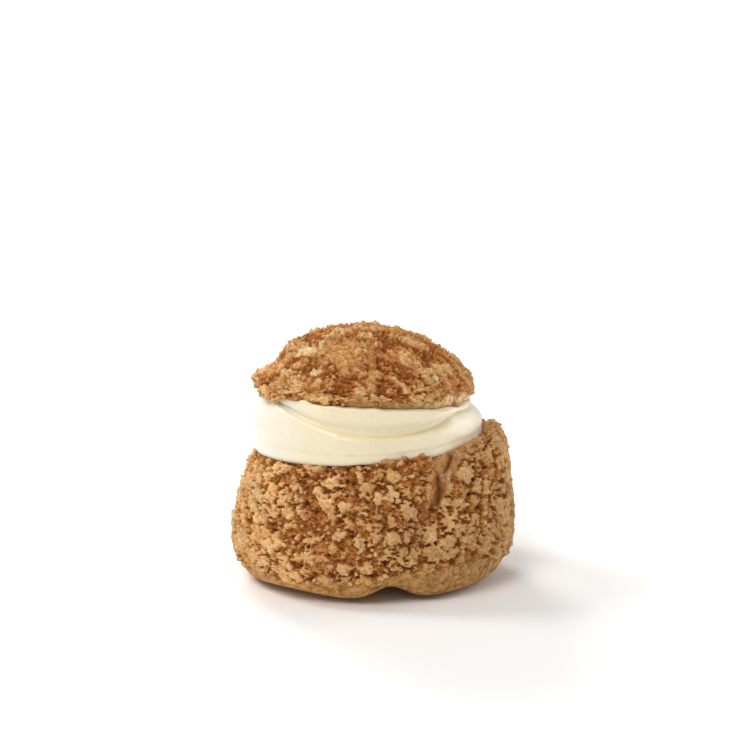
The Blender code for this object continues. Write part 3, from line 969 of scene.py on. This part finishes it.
def crust_finish(name, deepest):
    """The second colour is the one at the bottom of the cracks: the skin's brown, darkened to paint the shade
    in them. It also paints the shade at the plates' feet and in creases.
    """
    made = Finish(name)
    crust, tone, edge, bare, pale, painted_crease_shade, cut = map(made.note, NOTES)
    fine = made.speckle(FINE_GRIT, 3.0, 0.65)
    pit = made.between(made.speckle(PIT, 4.0, 0.7), 0.57, 0.65)
    distance, luck = made.cells(PAINTED_GLINT_SPACING)
    painted_glint = made.times(made.between(distance, 0.22, 0.34, 1.0, 0.0), made.between(luck, 0.76, 0.80))
    tint = deepest
    # Colours by the crust's level: the lower crumbs and the skin in the cracks are browner in themselves, and
    # are made darker still as painted shade in the cracks
    for share, over in (
        (made.between(crust, 0.08, 0.42), LOW_AMBER),
        (made.between(crust, 0.36, 0.72), CRUMB_ORANGE),
        # painted shade at the foot of the plates' walls
        (made.times(edge, made.between(crust, 0.45, 0.80, 0.6, 0.0)), deepest),
        (made.between(crust, 0.62, 0.92), crumb_colour(made, tone)),
        # painted highlight: the highest tops are painted paler
        (made.times(made.between(crust, 1.0, 1.45), 0.6), CRUMB_PALE),
        # painted shade in the pits
        (made.times(pit, 0.5), LOW_AMBER),
        # painted highlights: tiny pale glints
        (made.times(painted_glint, made.between(crust, 0.3, 0.7, 0.15, 0.7)), CRUMB_PALE),
        (bare, choux_colour(made, fine)),
        # painted shade in the creases, the groove and the fibres' hollows
        (made.times(painted_crease_shade, 0.8), deepest),
        # pale glaze and streaks, and painted highlights on the lid's ridges and fibres
        (made.times(pale, made.between(made.speckle(1.2 * MM), 0.3, 0.6)), GLAZE_AND_HIGHLIGHT_PALE),
        (cut, CUT_CHOUX),
    ):
        tint = made.blend(share, tint, over)
    crinkled = made.bump(made.speckle(1.0 * MM, 4.0, 0.6), 0.7, 0.35 * MM)
    gritty = made.bump(fine, 0.6, 0.12 * MM, crinkled)
    return made.look(
        Base_Color=tint,
        Roughness=made.between(crust, 0.1, 0.6, 0.60, 0.80),
        Normal=made.bump(pit, 0.8, -0.25 * MM, gritty),
        Specular_IOR_Level=0.12,
    )


def loose_crumb_finish():
    made = Finish("loose_crumbs")
    return made.look(
        Base_Color=crumb_colour(made, made.note("luck")),
        Normal=made.bump(made.speckle(0.25 * MM), 0.5, 0.1 * MM),
        Roughness=0.85,
        Specular_IOR_Level=0.35,
    )


def cream_finish():
    made = Finish("whipped_cream")
    distance, luck = made.cells(BUBBLE)
    hole = made.times(made.between(distance, 0.12, 0.20, 1.0, 0.0), made.between(luck, 0.40, 0.45))
    # painted highlight: the cream is painted whiter towards its left side
    pale = made.blend(made.between(made.along("X"), *CREAM_LIT), CREAM_PAINTED_HIGHLIGHT, CREAM_PALE)
    # painted shade in the seam and under the lid
    rich = made.blend(made.note("deep"), pale, CREAM_PAINTED_SHADE)
    wavy = made.bump(made.speckle(3.5 * MM, 2.0), 0.3, 0.5 * MM)
    soft = made.bump(made.speckle(0.6 * MM, 4.0), 0.35, 0.1 * MM, wavy)
    return made.look(
        # painted shade in the bubbles' holes
        Base_Color=made.blend(made.times(hole, 0.5), rich, CREAM_HOLE_SHADE),
        Normal=made.bump(hole, 0.7, -BUBBLE_DEPTH, soft),
        Roughness=0.38,
        Specular_IOR_Level=0.8,
        Sheen_Weight=0.9,
        Sheen_Roughness=0.4,
        Subsurface_Weight=0.35,
        Subsurface_Radius=(1.0, 0.75, 0.45),
        Subsurface_Scale=2.0 * MM,
    )


# --- loose crumbs, strewn by Geometry Nodes ---


class Strewer(Nodes):
    """A Geometry Nodes tree that strews crumbs over a mesh, more where its note "strewn" is high."""

    SIZES = {
        "Per square metre": 0.4e6,
        "Smallest": 0.35 * MM,
        "Largest": 0.85 * MM,
        "Sunk": 0.3,  # a crumb's middle lies this share of its size under the skin
        "Flatness": 0.7,
    }
    SHAPES = 4
    BEND = 1.5  # how far each shape is from a ball

    def __init__(self):
        super().__init__(bpy.data.node_groups.new("strewn_crumbs", "GeometryNodeTree"))
        self.row("Crust", "Geometry")
        for name, value in self.SIZES.items():
            self.row(name, "Float").default_value = value
        self.row("Seed", "Int")
        self.row("Finish", "Material")
        self.row("Crumbs", "Geometry", "OUTPUT")
        self.build(self.node("NodeGroupInput").outputs)

    def row(self, name, kind, in_out="INPUT"):
        return self.tree.interface.new_socket(name, in_out=in_out, socket_type="NodeSocket" + kind)

    def scaled(self, vector, size):
        return self.out("ShaderNodeVectorMath", "Vector", {0: vector, "Scale": size}, operation="SCALE")

    def moved(self, geometry, offset):
        return self.out("GeometryNodeSetPosition", "Geometry", {"Geometry": geometry, "Offset": offset})

    def read(self, name):
        return self.out("GeometryNodeInputNamedAttribute", "Attribute", {"Name": name})

    def stored(self, geometry, name, value):
        row = {"Geometry": geometry, "Name": name, "Value": value}
        return self.out("GeometryNodeStoreNamedAttribute", "Geometry", row)

    def random(self, low, high, kind="FLOAT", seed=0):
        made = self.node("FunctionNodeRandomValue", {"Seed": seed}, data_type=kind)
        for socket, value in zip([s for s in made.inputs if s.enabled], (low, high)):
            self.put(value, socket)
        return next(s for s in made.outputs if s.enabled)

    def shapes(self):
        """A few unlike crumbs, each 1 across, as instances to pick from."""
        every = self.node("GeometryNodeJoinGeometry")
        for i in range(self.SHAPES):
            ball = {"Radius": 0.5, "Subdivisions": 2 - i % 2}
            ball = self.out("GeometryNodeMeshIcoSphere", "Mesh", ball)
            look = {"W": 5.1 * i, "Scale": 2.4, "Detail": 1.0}
            bend = self.out("ShaderNodeTexNoise", "Color", look, noise_dimensions="4D")
            crumb = self.moved(ball, self.scaled(self.vector(bend, (0.5, 0.5, 0.5), "SUBTRACT"), self.BEND))
            single = self.out("GeometryNodeGeometryToInstance", "Instances", {"Geometry": crumb})
            self.put(single, every.inputs["Geometry"])
        return every.outputs["Geometry"]

    def build(self, given):
        density = self.times(self.read("strewn"), given["Per square metre"])
        bed = {"Mesh": given["Crust"], "Density": density, "Seed": given["Seed"]}
        points = self.node("GeometryNodeDistributePointsOnFaces", bed).outputs
        size = self.random(given["Smallest"], given["Largest"], seed=1)
        crumbs = self.stored(points["Points"], "size", size)
        size = self.read("size")
        depth = self.times(self.times(size, given["Sunk"]), -1.0)
        crumbs = self.moved(crumbs, self.scaled(points["Normal"], depth))
        crumbs = self.stored(crumbs, "luck", self.random(0.0, 1.0, seed=2))
        lean = self.random((-0.5, -0.5, 0.0), (0.5, 0.5, math.tau), "FLOAT_VECTOR", 3)
        turn = self.out("FunctionNodeEulerToRotation", "Rotation", {0: lean})
        turn = {"Rotation": points["Rotation"], "Rotate By": turn}
        shape = self.random((0.75, 0.75, 0.8), (1.2, 1.2, 1.2), "FLOAT_VECTOR", 4)
        flat = self.out("ShaderNodeCombineXYZ", "Vector", {"X": 1.0, "Y": 1.0, "Z": given["Flatness"]})
        on_points = {
            "Points": crumbs,
            "Instance": self.shapes(),
            "Pick Instance": True,
            "Instance Index": self.random(0, self.SHAPES - 1, "INT", 5),
            "Rotation": self.out("FunctionNodeRotateRotation", "Rotation", turn, rotation_space="LOCAL"),
            "Scale": self.scaled(self.vector(shape, flat, "MULTIPLY"), size),
        }
        crumbs = self.out("GeometryNodeInstanceOnPoints", "Instances", on_points)
        crumbs = self.out("GeometryNodeRealizeInstances", "Geometry", {"Geometry": crumbs})
        dressed = {"Geometry": crumbs, "Material": given["Finish"]}
        dressed = self.out("GeometryNodeSetMaterial", "Geometry", dressed)
        self.node("NodeGroupOutput", {"Crumbs": dressed})

    def strew(self, name, crust, material, seed):
        """A mesh of crumbs over the crust."""
        ground = crust.data.copy()
        ground.attributes.new("strewn", "FLOAT", "POINT").data.foreach_set("value", strewn_share(crust))
        bed = added(name + "_bed", ground)
        modifier = bed.modifiers.new("strewn_crumbs", "NODES")
        modifier.node_group = self.tree
        for row in self.tree.interface.items_tree:
            if row.name in ("Seed", "Finish"):
                modifier[row.identifier] = seed if row.name == "Seed" else material
        ready = bed.evaluated_get(bpy.context.evaluated_depsgraph_get())
        mesh = bpy.data.meshes.new_from_object(ready)
        mesh.name = name
        bpy.data.objects.remove(bed)
        return added(name, mesh)


def strewn_share(crust):
    """By vertex: most crumbs at the plates' edges, few in the cracks, none on bare skin or the cut."""
    notes = {}
    for name in ("crust", "edge", "bare", "cut"):
        notes[name] = [0.0] * len(crust.data.vertices)
        crust.data.attributes[name].data.foreach_get("value", notes[name])
    shares = []
    for level, edge, bare, cut in zip(*notes.values()):
        on_plate = ramp(0.3, 0.6, level)
        shares.append((0.10 + 0.25 * on_plate + 0.65 * edge * on_plate) * (1.0 - bare) * (1.0 - cut))
    return shares


# --- the studio ---

FLOOR_RADII = (0.3, 1.0, 4.0, 15.0, 60.0, 250.0)
FLOOR_CORNERS = 48
FLOOR_WHITE = (0.920, 0.915, 0.905, 1.0)
ROOM_WHITE = (1.0, 0.985, 0.965, 1.0)
ROOM_BRIGHT_SIDE = Vector((-0.30, -0.10, -0.90))
ROOM_DIMMEST, ROOM_BRIGHTEST = 0.30, 0.86
LAMPS = (  # name, where it stands from the puff, strength, width in degrees
    ("left_lamp", (-0.85, 0.25, 0.90), 1.05, 20),
    ("back_lamp", (-0.35, 0.95, 0.55), 1.25, 20),
    ("front_lamp", (-0.30, -0.62, 0.82), 1.35, 25),
    ("right_lamp", (0.88, 0.34, 0.34), 1.15, 40),
)
CAMERA_AIM = Vector((0.6, 0.0, 51.0)) * MM
CAMERA_AWAY = 520.8 * MM
CAMERA_DOWN = 10.3 * DEGREE


def make_floor():
    """A flat round floor in rings that reaches to where the picture ends."""
    grid = bmesh.new()
    rings = []
    for radius in FLOOR_RADII:
        rings.append(bmesh.ops.create_circle(grid, segments=FLOOR_CORNERS, radius=radius)["verts"])
    grid.faces.new(rings[0])
    for inner, outer in zip(rings, rings[1:]):
        for i in range(FLOOR_CORNERS):
            grid.faces.new((inner[i - 1], outer[i - 1], outer[i], inner[i]))
    bmesh.ops.recalc_face_normals(grid, faces=grid.faces[:])
    mesh = bpy.data.meshes.new("studio_floor")
    grid.to_mesh(mesh)
    grid.free()
    mesh.materials.append(Finish("white_floor").look(Base_Color=FLOOR_WHITE, Roughness=0.6))
    added("studio_floor", mesh)


def make_light():
    """A white room, brightest from low on the left, and four soft distant lamps, the softest on the right."""
    world = bpy.data.worlds.new("studio")
    bpy.context.scene.world = world
    world.use_nodes = True
    room = Nodes(world.node_tree)
    ways = {0: room.out("ShaderNodeTexCoord", "Generated"), 1: ROOM_BRIGHT_SIDE.normalized()}
    along = room.out("ShaderNodeVectorMath", "Value", ways, operation="DOT_PRODUCT")
    ends = {"Value": along, "From Min": -1.0, "To Min": ROOM_DIMMEST, "To Max": ROOM_BRIGHTEST}
    background = room.tree.nodes["Background"].inputs
    room.put(room.out("ShaderNodeMapRange", "Result", ends), background["Strength"])
    room.put(ROOM_WHITE, background["Color"])
    for name, toward, strength, width in LAMPS:
        lamp = bpy.data.lights.new(name, "SUN")
        lamp.energy, lamp.angle = strength, width * DEGREE
        added(name, lamp).rotation_euler = Vector(toward).to_track_quat("Z", "Y").to_euler()
    bpy.context.scene.view_settings.view_transform = "Standard"


def make_camera():
    """Looks down at about 10 degrees. The picture is 187.5 mm wide at the puff."""
    lens = bpy.data.cameras.new("camera")
    lens.lens, lens.sensor_width, lens.clip_end = 100.0, 36.0, 1000.0
    camera = added("camera", lens)
    toward = Vector((0.0, -math.cos(CAMERA_DOWN), math.sin(CAMERA_DOWN)))
    camera.location = CAMERA_AIM + toward * CAMERA_AWAY
    camera.rotation_euler = (CAMERA_AIM - camera.location).to_track_quat("-Z", "Y").to_euler()
    bpy.context.scene.camera = camera


def main():
    noise.seed_set(CHANCE_SEED)
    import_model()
    make_camera()
    make_light()
    make_floor()
    shift = place_in_frame()
    base = make_base(crust_finish("craquelin_base", CRACK_BROWN), shift)
    cream = make_cream(cream_finish(), shift)
    lid = make_lid(crust_finish("craquelin_lid", LID_BROWN), shift)
    strewer, crumb = Strewer(), loose_crumb_finish()
    base_crumbs = strewer.strew("base_crumbs", base, crumb, seed=3)
    lid_crumbs = strewer.strew("lid_crumbs", lid, crumb, seed=8)
    for piece, node, slot in (
        (base, "base", "base_crust"),
        (cream, "cream", "cream"),
        (lid, "lid", "lid_crust"),
        (base_crumbs, None, "base_crust"),
        (lid_crumbs, None, "lid_crust"),
    ):
        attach(piece, "root")
        if node:
            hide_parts(node)


main()
